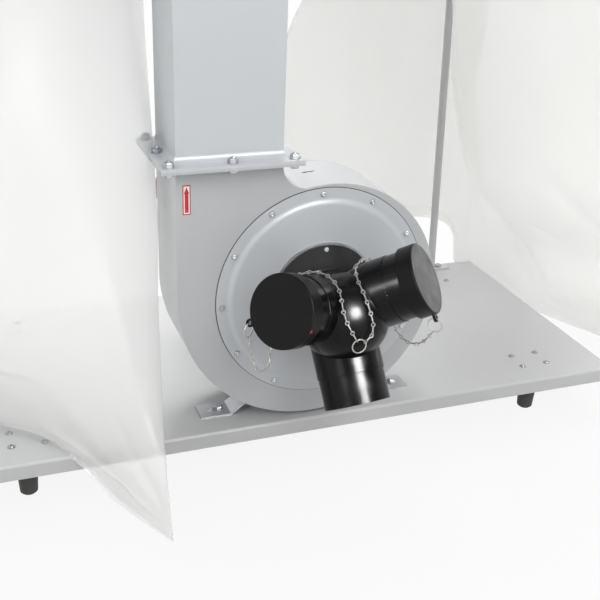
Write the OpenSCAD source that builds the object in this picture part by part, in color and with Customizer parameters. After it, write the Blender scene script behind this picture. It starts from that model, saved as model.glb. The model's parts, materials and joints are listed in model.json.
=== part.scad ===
// Two-bag chip extractor: a blower on a folded base plate, a three-way inlet on its front,
// and a duct that rises from its outlet to two separator drums with bags above and below.
// Millimetres. +Z is up, the inlets face -Y, and the machine stands on z = 0.

/* [Base plate] */
// Length of the base plate, left to right
plate_length = 1176; // [900:1:1600]
// Depth of the base plate, front to back
plate_depth = 535; // [500:1:800]
// Depth of the turned-down edge
plate_lip = 26; // [15:1:50]
// Thickness of the plate's sheet
plate_sheet = 2.5; // [1.5:0.5:5]
// Outer radius of the plate's bends
plate_bend = 5; // [4:0.5:10]
// Height of the plate's top over the floor
plate_top = 98; // [80:1:160]

/* [Blower housing] */
// Distance of the fan's axis from the plate's middle
fan_x = 7; // [-40:1:40]
// Height of the fan's axis over the plate's top
fan_height = 216; // [214:0.5:300]
// Setback of the housing's front wall from the plate's front edge
housing_front = 16; // [5:1:60]
// Depth of the housing, front wall to back wall
housing_depth = 125; // [90:1:180]
// Distance from the fan's axis to the wrapper, straight up, where the scroll starts
scroll_start = 176.5; // [175:1:185]
// Growth of that distance in each quarter turn
scroll_growth = 17.8; // [12:0.1:18]
// Width of the outlet
outlet_width = 160; // [120:1:180]
// Height of the outlet's flange over the fan's axis
outlet_height = 216; // [205:1:300]
// Radius of the tongue, between the outlet and the scroll
tongue_r = 38; // [25:1:45]
// Thickness of the housing's sheet
housing_sheet = 2.5; // [1.5:0.5:4]

/* [Three-way inlet] */
// Outer diameter of each hose port
port_d = 100; // [80:1:125]
// Wall thickness of the moulded inlet
port_wall = 3.5; // [2:0.5:6]
// Distance from the housing's front wall to the point where the ports' axes meet
hub_reach = 61; // [60:1:75]
// Radius of the dome between the ports
dome_r = 68; // [64:0.5:75]
// Angle between each port and the fan's axis
port_tilt = 58; // [45:0.5:70]
// Turn of the left port about the fan's axis, from +X
turn_left = 158.5; // [150:0.5:165]
// Turn of the right port
turn_right = 34; // [25:0.5:45]
// Turn of the bottom port
turn_bottom = 274.5; // [265:0.5:280]
// Length of each port, from the point where the axes meet
port_reach = 147; // [130:1:180]
// Length of a cap over its port
cap_length = 25; // [15:1:40]

/* [Drums and ducts] */
// Outer diameter of a separator drum
drum_d = 500; // [400:10:600]
// Distance of each drum's axis from the plate's middle
drum_x = 458; // [420:1:560]
// Height of a drum
drum_height = 300; // [260:10:400]
// Height of the drums' lower rim over the plate's top
drum_base = 880; // [700:10:1000]
// Height of the duct's horizontal arms
arm_height = 160; // [120:10:180]
// Thickness of the drum's and duct's sheet
duct_sheet = 2; // [1:0.5:4]

/* [Bags] */
// Height of the filter bags over the drums
filter_height = 900; // [600:10:1100]

/* [Hidden] */
$fn = 96;

plate_front = -250;
foot_x = 457;
foot_y = 70;
fan_z = plate_top + fan_height;
front_y = plate_front + housing_front;
back_y = front_y + housing_depth;
half_growth = scroll_growth / 2;
first_r = scroll_start + half_growth;
left_wall = scroll_start + 3 * scroll_growth;
cover_r = 171.5;
hub_y = front_y - hub_reach;
dome_y = hub_y - 30;
port_r = port_d / 2;
ports = [turn_left, turn_right, turn_bottom];
cap_r = port_r + 4;
flange_t = 4;
flange_z = fan_z + outlet_height;
outlet_x = fan_x - left_wall + outlet_width / 2;
outlet_y = front_y + housing_depth / 2;
drum_r = drum_d / 2;
drum_y = front_y + drum_r;
drum_z = plate_top + drum_base;
arm_z = drum_z + (drum_height - arm_height) / 2;
strut_r = 8;
motor_r = 78;

// ---- Helpers -------------------------------------------------------------------------------

// A cylinder along +Y from y = 0.
module bar_y(r, length) {
    rotate([-90, 0, 0])
        cylinder(r = r, h = length);
}

// A round bar between two points.
module bar(from, to, r) {
    run = to - from;
    translate(from)
        rotate([0, acos(run[2] / norm(run)), atan2(run[1], run[0])])
            cylinder(r = r, h = norm(run), $fn = 32);
}

// A flat outline in X and Z, given thickness along +Y from y = 0.
module wall_y(thickness) {
    translate([0, thickness, 0])
        rotate([90, 0, 0])
            linear_extrude(thickness)
                children();
}

// Turns a shape drawn along +Z from the hub's centre to the direction of one port.
module at_port(turn) {
    translate([fan_x, hub_y, fan_z])
        rotate([0, -turn, 0])
            rotate([0, 0, -90 + port_tilt])
                rotate([0, 90, 0])
                    children();
}

// ---- Base ----------------------------------------------------------------------------------

// A tray's outline from the side: a slab whose two top corners are rounded.
module fold_outline(length, r) {
    translate([-length / 2, -plate_lip])
        square([length, plate_lip - r]);
    translate([-length / 2 + r, -r - 1])
        square([length - 2 * r, r + 1]);
    for (side = [-1, 1])
        translate([side * (length / 2 - r), -r])
            circle(r = r, $fn = 48);
}

// A block as long and deep as the plate, less the inset, with rounded upper edges.
module fold_block(inset) {
    length = plate_length - 2 * inset;
    depth = plate_depth - 2 * inset;
    r = plate_bend - inset;
    translate([0, plate_front + plate_depth / 2, plate_top - inset])
        intersection() {
            translate([0, -depth / 2, 0])
                wall_y(depth)
                    fold_outline(length, r);
            rotate([0, 0, 90])
                translate([0, -length / 2, 0])
                    wall_y(length)
                        fold_outline(depth, r);
        }
}

// The folded base plate: a flat top with its four edges turned down.
module base_plate() {
    color("lightgray")
        difference() {
            fold_block(0);
            fold_block(plate_sheet);
        }
}

// Places one copy at each of the four feet.
module at_feet() {
    for (x = [-foot_x, foot_x], y = [foot_y, plate_depth - foot_y])
        translate([x, plate_front + y, 0])
            children();
}

foot_plate_t = 3;
foot_top = plate_top - plate_sheet - foot_plate_t;

// Steel plates that carry the feet, under the sheet.
module foot_mounts() {
    color("silver")
        at_feet()
            translate([-35, -30, foot_top])
                cube([70, 60, foot_plate_t]);
}

// Tapered rubber feet with a flared top and a rounded tread.
module feet() {
    color([0.1, 0.1, 0.1])
        at_feet()
            rotate_extrude($fn = 48)
                polygon([[0, 0], [11, 0], [14, 3], [18, 60], [22, 80], [22, foot_top], [0, foot_top]]);
}

// ---- Blower housing ------------------------------------------------------------------------

// The scroll's outline about the fan's axis, drawn with three quarter arcs about the corners of
// a square whose side is the growth in a quarter turn. The outlet stands on its left.
module scroll_outline(inset = 0) {
    far = 2 * left_wall;
    r1 = first_r - inset;
    tongue_x = -left_wall + outlet_width + tongue_r;
    tongue_z = -half_growth + sqrt(pow(first_r + tongue_r, 2) - pow(tongue_x - half_growth, 2));
    meet_x = half_growth + (tongue_x - half_growth) * first_r / (first_r + tongue_r);
    wall_x = -left_wall + outlet_width - inset;
    intersection() {
        translate([half_growth, -half_growth])
            circle(r = r1);
        translate([meet_x, -half_growth])
            square([far, far]);
    }
    intersection() {
        translate([-half_growth, -half_growth])
            circle(r = r1 + scroll_growth);
        translate([-half_growth, -half_growth - far])
            square([far, far]);
    }
    intersection() {
        translate([-half_growth, half_growth])
            circle(r = r1 + 2 * scroll_growth);
        translate([-half_growth - far, half_growth - far])
            square([far, far]);
    }
    translate([-half_growth - 1, -half_growth - 1])
        square([meet_x + half_growth + 2, scroll_growth + 2]);
    translate([-left_wall + inset, half_growth - 1])
        square([outlet_width - 2 * inset, outlet_height - half_growth + 1]);
    translate([wall_x - 1, -half_growth - 1])
        square([meet_x - wall_x + 2, 140]);
    difference() {
        translate([wall_x - 1, 100])
            square([meet_x - wall_x + 1.01, tongue_z - 100]);
        translate([tongue_x, tongue_z])
            circle(r = tongue_r + inset);
    }
}

// The rolled wrapper between the two walls.
module scroll_wrapper() {
    color([0.83, 0.84, 0.85])
        translate([fan_x, front_y + housing_sheet, fan_z])
            wall_y(housing_depth - 2 * housing_sheet)
                difference() {
                    scroll_outline();
                    scroll_outline(housing_sheet);
                    translate([-left_wall + housing_sheet, outlet_height - 1])
                        square([outlet_width - 2 * housing_sheet, 2]);
                }
}

// The front wall, with the large hole that the cover closes.
module scroll_front() {
    color([0.72, 0.73, 0.74])
        translate([fan_x, front_y, fan_z])
            difference() {
                wall_y(housing_sheet)
                    scroll_outline();
                translate([0, -1, 0])
                    bar_y(cover_r - 20, housing_sheet + 2);
            }
}

// The back wall, with the hole for the motor's shaft.
module scroll_back() {
    color([0.72, 0.73, 0.74])
        translate([fan_x, back_y - housing_sheet, fan_z])
            difference() {
                wall_y(housing_sheet)
                    scroll_outline();
                translate([0, -1, 0])
                    bar_y(30, housing_sheet + 2);
            }
}

cover_rise = 5;
cover_sheet = 2;
cover_slope = 22;
crest_r = 12;
valley_r = 10;
flat_r = 145;
rim_r = flat_r + (crest_r + valley_r - (crest_r + valley_r - cover_rise + cover_sheet)
    * cos(cover_slope)) / sin(cover_slope);
inlet_hole_r = 66;

// The area under the cover's profile, moved inward by depth: a flat middle, a round crest, a
// slope and a round valley that runs out into the rim.
module under_cover(depth) {
    crest = [flat_r, cover_rise - crest_r];
    valley = [rim_r, cover_sheet + valley_r];
    normal = [sin(cover_slope), cos(cover_slope)];
    top = crest + (crest_r - depth) * normal;
    foot = valley - (valley_r + depth) * normal;
    square([flat_r, cover_rise - depth]);
    intersection() {
        translate(crest)
            circle(r = crest_r - depth);
        square([cover_r, cover_rise]);
    }
    polygon([[flat_r, 0], top, foot, [foot[0], 0]]);
    difference() {
        translate([foot[0] - 0.01, 0])
            square([rim_r - foot[0] + 0.01, foot[1]]);
        translate(valley)
            circle(r = valley_r + depth);
    }
    if (depth == 0)
        square([cover_r, cover_sheet]);
}

// The round cover: a flat rim for the screws and a soft step up to the middle.
module fan_cover() {
    color([0.76, 0.77, 0.78])
        translate([fan_x, front_y, fan_z])
            rotate([90, 0, 0])
                rotate_extrude($fn = 128)
                    difference() {
                        under_cover(0);
                        under_cover(cover_sheet);
                        square([inlet_hole_r, cover_rise + 1]);
                    }
}

collar_t = 1.5;
collar_y = front_y - cover_rise;
collar_r = 86;

// The bright collar under the inlet's flange.
module inlet_ring() {
    color("silver")
        translate([fan_x, collar_y, fan_z])
            rotate([90, 0, 0])
                rotate_extrude()
                    translate([inlet_hole_r, 0])
                        square([collar_r - inlet_hole_r, collar_t]);
}

// ---- Three-way inlet -----------------------------------------------------------------------

flange_y = collar_y - collar_t;
inlet_flange_r = 82.8;
inlet_flange_t = 3.5;
neck_r = 44;
neck_reach = flange_y - dome_y;
neck_slope = asin(dome_r / norm([neck_reach, neck_r])) - atan2(neck_r, neck_reach);
neck_joint = 24;
seam_reach = 101;
seam_rise = 1.2;

// The radius of the neck's cone at the distance d in front of the flange's back, less depth.
function neck_at(d, depth = 0) = neck_r - depth / cos(neck_slope) + d * tan(neck_slope);

// The flat flange, moulded with the narrow end of the neck.
module inlet_flange() {
    color([0.12, 0.12, 0.12])
        translate([fan_x, flange_y, fan_z])
            rotate([90, 0, 0])
                rotate_extrude($fn = 128)
                    polygon([[neck_at(0, port_wall), 0], [inlet_flange_r, 0],
                        [inlet_flange_r, inlet_flange_t], [neck_at(inlet_flange_t), inlet_flange_t],
                        [neck_at(neck_joint), neck_joint], [neck_at(neck_joint, port_wall), neck_joint]]);
}

// The inlet's core, moved inward by depth: a dome whose back narrows to the neck behind the
// flange. It runs on past the flange's back by past.
module inlet_core(depth, past) {
    ball = dome_r - depth;
    translate([fan_x, dome_y, fan_z])
        rotate([-90, 0, 0])
            rotate_extrude($fn = 128) {
                intersection() {
                    circle(r = ball);
                    translate([0, -ball])
                        square([ball, 2 * ball]);
                }
                polygon([[0, 0], ball * [cos(neck_slope), sin(neck_slope)],
                    [neck_at(-past, depth), neck_reach + past], [0, neck_reach + past]]);
            }
}

// The outside of the inlet: the core and three ports with a seam round each.
module inlet_outside() {
    inlet_core(0, 0);
    for (turn = ports)
        at_port(turn) {
            cylinder(r = port_r, h = port_reach);
            cylinder(r = port_r + seam_rise, h = seam_reach);
        }
}

// The air space inside the inlet.
module inlet_inside() {
    inlet_core(port_wall, 1);
    for (turn = ports)
        at_port(turn)
            cylinder(r = port_r - port_wall, h = port_reach + 1);
}

// The moulded body, up to its joint with the flange.
module inlet_body() {
    color([0.12, 0.12, 0.12])
        difference() {
            inlet_outside();
            inlet_inside();
            translate([fan_x, flange_y - neck_joint, fan_z])
                bar_y(dome_r, neck_joint + 1);
        }
}

cap_edge = 3;
cap_end_t = 2.8;
cap_face = port_reach + 3;
lug_r = 6;
lug_t = 4;
lug_hole_r = 3.2;
lug_set = 8;
lug_out = cap_r + 5;

// A push-on cap. Its lug stands out of the rim at the angle lug_turn.
module cap(turn, lug_turn) {
    color([0.16, 0.16, 0.16])
        at_port(turn) {
            translate([0, 0, cap_face - cap_length])
                rotate_extrude()
                    difference() {
                        union() {
                            square([cap_r, cap_length - cap_edge]);
                            square([cap_r - cap_edge, cap_length]);
                            translate([cap_r - cap_edge, cap_length - cap_edge])
                                circle(r = cap_edge, $fn = 32);
                        }
                        square([port_r + 0.2, cap_length - cap_end_t]);
                        translate([-cap_edge, -1])
                            square([cap_edge, cap_length + 2]);
                    }
            rotate([0, 0, lug_turn])
                translate([0, 0, cap_face - lug_set])
                    difference() {
                        union() {
                            translate([cap_r - 1, -lug_r, 0])
                                cube([lug_out - cap_r + 1, 2 * lug_r, lug_t]);
                            translate([lug_out, 0, 0])
                                cylinder(r = lug_r, h = lug_t, $fn = 32);
                        }
                        translate([lug_out, 0, -1])
                            cylinder(r = lug_hole_r, h = lug_t + 2, $fn = 32);
                    }
        }
}

lug_left = 134;
lug_right = -40;

module cap_left() {
    cap(turn_left, lug_left);
}

module cap_right() {
    cap(turn_right, lug_right);
}

// ---- Chains --------------------------------------------------------------------------------

ring_r = 10.5;
ring_wire_r = 0.9;
wire_r = 0.6;
knot_r = 1.05;
eye_r = 2.7;
eye_play = 0.9;
link_length = 16.6;
eye_in = eye_r - wire_r - eye_play / 2;

// A smooth curve through the points p, with t = 0 at the first and 1 more at each next one.
function curve(p, t) =
    let (i = min(floor(t), len(p) - 2), u = t - i,
        a = p[max(i - 1, 0)], b = p[i], c = p[i + 1], d = p[min(i + 2, len(p) - 1)])
    b + u / 2 * (c - a + u * (2 * a - 5 * b + 4 * c - d + u * (3 * b - a - 3 * c + d)));

// Pairs of the length along the curve and t, in steps of a twentieth of t.
function measured(p) = [
    for (i = 0, s = 0; i <= 20 * (len(p) - 1);
            s = s + norm(curve(p, (i + 1) / 20) - curve(p, i / 20)), i = i + 1)
        [s, i / 20]
];

// The joints between links: points that split the curve into equal lengths near link_length.
function joints(p) =
    let (table = measured(p), whole = table[len(table) - 1][0], count = round(whole / link_length))
    [for (i = [0:count]) curve(p, lookup(whole * i / count, table))];

function unit(v) = v / norm(v);

// What is left of n square to the direction d, at length 1.
function square_to(n, d) = unit(n - (n * d) * d);

// A side direction for each link, carried along the chain and turned evenly by twist in all.
function sides(q, n, twist) =
    let (last = len(q) - 2)
    [for (i = 0, m = n; i <= last; m = square_to(m, unit(q[i + 1] - q[i])), i = i + 1)
        let (d = unit(q[i + 1] - q[i]), s = square_to(m, d), a = twist * i / last)
        s * cos(a) + cross(d, s) * sin(a)];

// Half a link: an eye in the X-Z plane and half of the wound knot, reach above z = 0.
module half_link(reach) {
    translate([0, 0, eye_in])
        rotate([90, 0, 0])
            rotate_extrude($fn = 24)
                translate([eye_r, 0])
                    circle(r = wire_r, $fn = 13);
    translate([0, 0, eye_in + eye_r - wire_r / 2])
        cylinder(r = knot_r, h = reach - eye_in - eye_r + wire_r / 2, $fn = 16);
}

// A knotted link between two joints, its eyes a quarter turn apart.
module knotted_link(from, to, side) {
    length = norm(to - from);
    z = (to - from) / length;
    y = cross(z, side);
    multmatrix([
        [side[0], y[0], z[0], from[0]],
        [side[1], y[1], z[1], from[1]],
        [side[2], y[2], z[2], from[2]]
    ]) {
        half_link(length / 2);
        translate([0, 0, length])
            rotate([180, 0, 90])
                half_link(length / 2);
    }
}

// A chain of knotted links along the route, whose first eye lies across the direction n.
module knotted_chain(route, n, twist) {
    q = joints(route);
    side = sides(q, n, twist);
    for (i = [0:len(q) - 2])
        knotted_link(q[i], q[i + 1], side[i]);
}

// A ring of wire that hangs in a vertical plane, turned about Z.
module wire_ring(middle, turn) {
    translate(middle)
        rotate([90, 0, turn])
            rotate_extrude($fn = 48)
                translate([ring_r, 0])
                    circle(r = ring_wire_r, $fn = 16);
}

// Routes and rings are placed from the point where the ports' axes meet. A swing is a ring's
// turn about Z, and a twist brings a chain's last eye across its ring.
swing_left = 35;
swing_right = -50;
twist_left = -76;
twist_right = -70;
ring_left = [-152.5, -43.3, 5.2];
ring_right = [109.8, -109.3, 8.9];
ring_centre = [-6, -103, -12];
route_left = [[-10, -103, -3.4], [-15, -102.5, 6], [-22, -98.5, 19], [-27, -90, 35],
    [-26, -75.5, 53], [-25, -57, 63.5], [-30, -37, 71], [-43, -14, 71], [-66, 7, 57],
    [-85, 11, 28], [-99, -1, -20], [-108, -12, -56], [-112, -18, -72], [-127, -27, -77],
    [-139, -35, -62], [-146, -40, -38], [-152, -43, -4.4]];
route_right = [[2.4, -103, -7.5], [12, -103.5, -2], [14, -102, 10], [15, -100, 20], [11, -92, 40],
    [8, -77, 57], [7, -52, 71], [16, -25, 79], [29, -18, 83], [54, 5, 72], [76, 12, 45],
    [84, 3, 8], [87, -16, -24], [91, -42, -40], [98, -69, -40], [104, -89, -28],
    [109.8, -109, 0.1]];

module chain_left() {
    color("silver")
        translate([fan_x, hub_y, fan_z]) {
            wire_ring(ring_left, swing_left);
            knotted_chain(route_left, [0, -1, 0], twist_left);
        }
}

module chain_right() {
    color("silver")
        translate([fan_x, hub_y, fan_z]) {
            wire_ring(ring_right, swing_right);
            knotted_chain(route_right, [0, -1, 0], twist_right);
        }
}

// The loose ring at the front of the dome, where the two chains meet.
module chain_centre() {
    color("silver")
        translate([fan_x, hub_y, fan_z])
            wire_ring(ring_centre, 0);
}

// ---- Brackets ------------------------------------------------------------------------------

bracket_w = 40;
bracket_t = 3;
slot_set = 26;
slot_length = 16;
slot_r = 4.5;

// A bar with round ends, for cutting a slot that is long in X.
module slot(length, r, h) {
    translate([-length / 2, -r, 0])
        cube([length, 2 * r, h]);
    for (side = [-1, 1])
        translate([side * length / 2, 0, 0])
            cylinder(r = r, h = h, $fn = 32);
}

// A folded strap: a slotted pad on the plate and a leg up to the wrapper. side is 1 on the right.
module bracket(side, pad_end, leg_x, leg_z) {
    pad_length = 52;
    pad_start = pad_end - side * pad_length;
    color([0.75, 0.76, 0.77])
        translate([0, plate_front + 45, plate_top])
            difference() {
                wall_y(bracket_w)
                    polygon([[pad_end, 0], [pad_end, bracket_t],
                        [pad_start + side * 2, bracket_t], [leg_x + side * 3, leg_z],
                        [leg_x, leg_z], [pad_start, 0]]);
                translate([pad_end - side * slot_set, bracket_w / 2, -1])
                    slot(slot_length, slot_r, bracket_t + 2);
            }
}

module bracket_left() {
    bracket(-1, -181, -97, 24.5);
}

module bracket_right() {
    bracket(1, 189, 107, 35);
}

// ---- Outlet and ducts ----------------------------------------------------------------------

frame_w = 25;
cove_r = 12;

// A rectangular block about the riser's axis, wider than the outlet by grow on each side.
module outlet_block(grow, h) {
    width = outlet_width + 2 * grow;
    depth = housing_depth + 2 * grow;
    translate([-width / 2, -depth / 2, 0])
        cube([width, depth, h]);
}

// A rectangular frame of flat bar round the outlet.
module outlet_frame() {
    difference() {
        outlet_block(frame_w, flange_t);
        translate([0, 0, -1])
            outlet_block(-duct_sheet, flange_t + 2);
    }
}

// A block that flares out to its foot along hollow quarter rounds, cut back by depth.
module cove_block(depth) {
    difference() {
        outlet_block(cove_r, cove_r);
        for (side = [-1, 1]) {
            translate([-plate_length / 2, side * (housing_depth / 2 + cove_r), cove_r])
                rotate([0, 90, 0])
                    cylinder(r = cove_r + depth, h = plate_length);
            translate([side * (outlet_width / 2 + cove_r), -plate_depth / 2, cove_r])
                bar_y(cove_r + depth, plate_depth);
        }
    }
}

module outlet_flange() {
    color([0.8, 0.81, 0.82])
        translate([outlet_x, outlet_y, flange_z])
            outlet_frame();
}

riser_z = flange_z + flange_t;
riser_height = arm_z - riser_z - flange_t;

// The upright duct: a frame on its flared foot, another on its head.
module riser_duct() {
    color([0.79, 0.8, 0.81])
        translate([outlet_x, outlet_y, riser_z]) {
            outlet_frame();
            translate([0, 0, riser_height - flange_t])
                outlet_frame();
            difference() {
                union() {
                    translate([0, 0, flange_t])
                        outlet_block(0, riser_height - flange_t);
                    translate([0, 0, flange_t])
                        cove_block(0);
                }
                translate([0, 0, -1])
                    outlet_block(-duct_sheet, riser_height + 2);
                translate([0, 0, flange_t])
                    cove_block(duct_sheet);
            }
        }
}

arm_end = drum_x - 22;

// The tee: one arm to each drum, cut to the drums' round walls, with a frame under its middle.
module tee_duct() {
    color([0.79, 0.8, 0.81]) {
        translate([outlet_x, outlet_y, arm_z - flange_t])
            outlet_frame();
        difference() {
            translate([-arm_end, front_y, arm_z])
                cube([2 * arm_end, housing_depth, arm_height]);
            translate([-arm_end - 1, front_y + duct_sheet, arm_z + duct_sheet])
                cube([2 * arm_end + 2, housing_depth - 2 * duct_sheet,
                    arm_height - 2 * duct_sheet]);
            translate([outlet_x, outlet_y, arm_z - 1])
                outlet_block(-duct_sheet, duct_sheet + 2);
            for (side = [-1, 1])
                translate([side * drum_x, drum_y, arm_z - 1])
                    cylinder(r = drum_r, h = arm_height + 2, $fn = 160);
        }
    }
}

// ---- Drums ---------------------------------------------------------------------------------

bead_r = 3;

// A drum: a rolled shell with beads at its rims, open above and below, with a window for its
// arm of the tee.
module drum(side) {
    color([0.79, 0.8, 0.81])
        difference() {
            translate([side * drum_x, drum_y, drum_z])
                rotate_extrude($fn = 160) {
                    translate([drum_r - duct_sheet, 0])
                        square([duct_sheet, drum_height]);
                    for (z = [bead_r, drum_height - bead_r])
                        translate([drum_r - bead_r, z])
                            circle(r = bead_r, $fn = 24);
                }
            translate([side < 0 ? -arm_end : 0, front_y - 5, arm_z + duct_sheet])
                cube([arm_end, housing_depth + 5 - duct_sheet, arm_height - 2 * duct_sheet]);
        }
}

module drum_left() {
    drum(-1);
}

module drum_right() {
    drum(1);
}

strut_gap = 4;

// A slim tube from a foot on the plate to a bracket on the back of a drum.
module strut(side) {
    foot = [side * 475, plate_front + 511, plate_top];
    head = [side * drum_x, drum_y + drum_r + strut_gap + strut_r, drum_z + 60];
    color([0.55, 0.56, 0.57]) {
        bar(foot, head, strut_r);
        translate([min(foot[0], foot[0] + side * 40), foot[1] - 12, foot[2]])
            cube([40, 24, 4]);
        translate([head[0] - 12, drum_y + drum_r + 0.2, head[2] - 5])
            cube([24, strut_gap + 4, 40]);
    }
}

module strut_left() {
    strut(-1);
}

module strut_right() {
    strut(1);
}

band_h = 25;

// A clamp band with its toggle latch.
module band(side, z) {
    color("silver")
        translate([side * drum_x, drum_y, z]) {
            rotate_extrude($fn = 160)
                translate([drum_r + 1, 0])
                    square([1.5, band_h]);
            rotate([0, 0, -90 + side * 12])
                rotate_extrude(angle = 11, $fn = 160)
                    translate([drum_r + 2, 3])
                        square([8, band_h - 6]);
        }
}

module band_low_left() {
    band(-1, drum_z + 15);
}

module band_low_right() {
    band(1, drum_z + 15);
}

module band_top_left() {
    band(-1, drum_z + drum_height - 15 - band_h);
}

module band_top_right() {
    band(1, drum_z + drum_height - 15 - band_h);
}

// ---- Bags ----------------------------------------------------------------------------------

// A thin round slab, for the bags' hulls.
module slab(x, y, z, r) {
    translate([x, plate_front + y, plate_top + z])
        cylinder(r = r, h = 2, $fn = 32);
}

// The gathered mouth of a collecting bag, outside a drum's rim.
module bag_mouth(side) {
    difference() {
        translate([side * drum_x, drum_y, drum_z - 20])
            cylinder(r = drum_r + 0.8, h = 65, $fn = 160);
        translate([side * drum_x, drum_y, drum_z])
            cylinder(r = drum_r + 0.2, h = 66, $fn = 160);
    }
}

// The left collecting bag stands on the plate, and its lower corners drop past the plate's
// front and left edges.
module bag_left() {
    color([0.92, 0.93, 0.92]) {
        bag_mouth(-1);
        hull() {
            slab(-drum_x, housing_front + drum_r, drum_base - 22, drum_r + 0.8);
            slab(-465, 262, 300, 228);
        }
        hull() {
            slab(-465, 262, 300, 228);
            slab(-290, 60, 1, 50);
            slab(-320, 400, 1, 70);
            slab(-520, 440, 1, 50);
            slab(-500, 130, 1, 60);
        }
        hull() {
            slab(-330, 60, 20, 60);
            slab(-300, -60, 20, 40);
        }
        hull() {
            slab(-300, -60, 20, 40);
            slab(-270, -100, 2 - plate_top, 25);
        }
        hull() {
            slab(-600, 380, 60, 50);
            slab(-720, 400, 60, 40);
            slab(-790, 410, 2 - plate_top, 40);
        }
    }
}

// The right collecting bag is drawn off the plate, past its right end and behind its strut.
module bag_right() {
    color([0.92, 0.93, 0.92]) {
        bag_mouth(1);
        hull() {
            slab(drum_x, housing_front + drum_r, drum_base - 22, drum_r + 0.8);
            slab(620, 290, 560, 190);
        }
        hull() {
            slab(620, 290, 560, 190);
            slab(730, 150, 2 - plate_top, 100);
            slab(730, 430, 2 - plate_top, 100);
        }
        hull() {
            slab(650, 575, 80, 20);
            slab(650, 575, 520, 20);
            slab(160, 655, 100, 20);
            slab(160, 655, 480, 20);
        }
        hull() {
            slab(650, 575, 80, 20);
            slab(650, 575, 520, 20);
            slab(700, 450, 80, 60);
            slab(700, 450, 480, 60);
        }
    }
}

// A filter bag: a tall cloth bag with a rounded crown.
module filter(side) {
    crown = 120;
    color([0.93, 0.92, 0.9])
        translate([side * drum_x, drum_y, drum_z + drum_height - 45])
            rotate_extrude($fn = 64)
                difference() {
                    union() {
                        square([drum_r + 0.8, 45]);
                        translate([0, 45])
                            square([drum_r + 8, filter_height - crown]);
                        translate([0, 45 + filter_height - crown])
                            intersection() {
                                scale([1, crown / (drum_r + 8)])
                                    circle(r = drum_r + 8, $fn = 96);
                                square([drum_r + 8, crown]);
                            }
                    }
                    square([drum_r + 0.2, 45]);
                }
}

module filter_left() {
    filter(-1);
}

module filter_right() {
    filter(1);
}

hanger_top = drum_z + drum_height + filter_height + 25;

// The bent rod that holds a filter bag's crown.
module hanger(side) {
    rod_r = 6;
    y = drum_y + drum_r + 30;
    x = side * drum_x;
    color([0.55, 0.56, 0.57]) {
        bar([x, y, drum_z + 150], [x, y, hanger_top], rod_r);
        translate([x, y, hanger_top])
            sphere(r = rod_r, $fn = 32);
        bar([x, y, hanger_top], [x, drum_y, hanger_top], rod_r);
        translate([x, drum_y, hanger_top])
            sphere(r = rod_r, $fn = 32);
        bar([x, drum_y, hanger_top], [x, drum_y, hanger_top - 24], rod_r);
        for (z = [160, 240])
            translate([x - 10, drum_y + drum_r + 0.2, drum_z + z])
                cube([20, 30, 12]);
    }
}

module hanger_left() {
    hanger(-1);
}

module hanger_right() {
    hanger(1);
}

// ---- Motor ---------------------------------------------------------------------------------

// The motor's front shield, bolted to the housing's back wall.
module motor_shield() {
    color([0.7, 0.71, 0.72])
        translate([fan_x, back_y, fan_z])
            difference() {
                union() {
                    bar_y(100, 10);
                    bar_y(motor_r + 2, 30);
                }
                translate([0, -1, 0])
                    bar_y(20, 12);
            }
}

// The finned motor body.
module motor_body() {
    fins = 32;
    color([0.7, 0.71, 0.72])
        translate([fan_x, back_y + 30, fan_z])
            rotate([-90, 0, 0]) {
                cylinder(r = motor_r - 10, h = 190);
                for (i = [0:fins - 1])
                    rotate(360 * i / fins)
                        translate([motor_r - 11, -1.2, 0])
                            cube([10, 2.4, 190]);
            }
}

// The cowl over the motor's own fan, with slots in its end.
module motor_cowl() {
    color([0.2, 0.2, 0.21])
        translate([fan_x, back_y + 205, fan_z])
            rotate([-90, 0, 0])
                difference() {
                    union() {
                        cylinder(r = motor_r + 4, h = 60);
                        translate([0, 0, 60])
                            cylinder(r1 = motor_r + 4, r2 = motor_r - 4, h = 8);
                    }
                    translate([0, 0, -1])
                        cylinder(r = motor_r + 2, h = 64);
                    for (i = [0:15])
                        rotate(22.5 * i)
                            translate([25, -3, 50])
                                cube([40, 6, 30]);
                }
}

// The folded cradle under the motor.
module motor_cradle() {
    color([0.75, 0.76, 0.77])
        translate([fan_x, back_y + 60, plate_top])
            difference() {
                translate([-80, 0, 0])
                    cube([160, 110, fan_height - 40]);
                translate([-76, -1, 4])
                    cube([152, 112, fan_height]);
                translate([0, -1, fan_height])
                    bar_y(motor_r, 112);
            }
}

// The terminal box on top of the motor.
module terminal_box() {
    color([0.2, 0.2, 0.21])
        translate([fan_x - 45, back_y + 70, fan_z + motor_r - 6])
            cube([90, 90, 50]);
}

// The switch box behind the outlet.
module switch_box() {
    color([0.2, 0.2, 0.21])
        translate([-188, back_y, fan_z + 82])
            cube([60, 75, 110]);
}

// Its red off button, on the left.
module switch_button() {
    color("red")
        translate([-188, back_y + 40, fan_z + 132])
            rotate([0, -90, 0])
                union() {
                    cylinder(r = 14, h = 12);
                    translate([0, 0, 12])
                        cylinder(r1 = 29, r2 = 22, h = 12);
                }
}

// ---- Assembly ------------------------------------------------------------------------------

base_plate();
foot_mounts();
feet();
scroll_wrapper();
scroll_front();
scroll_back();
fan_cover();
inlet_ring();
inlet_flange();
inlet_body();
cap_left();
cap_right();
chain_left();
chain_right();
chain_centre();
bracket_left();
bracket_right();
outlet_flange();
riser_duct();
tee_duct();
drum_left();
drum_right();
strut_left();
strut_right();
band_low_left();
band_low_right();
band_top_left();
band_top_right();
bag_left();
bag_right();
filter_left();
filter_right();
hanger_left();
hanger_right();
motor_shield();
motor_body();
motor_cowl();
motor_cradle();
terminal_box();
switch_box();
switch_button();
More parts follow.
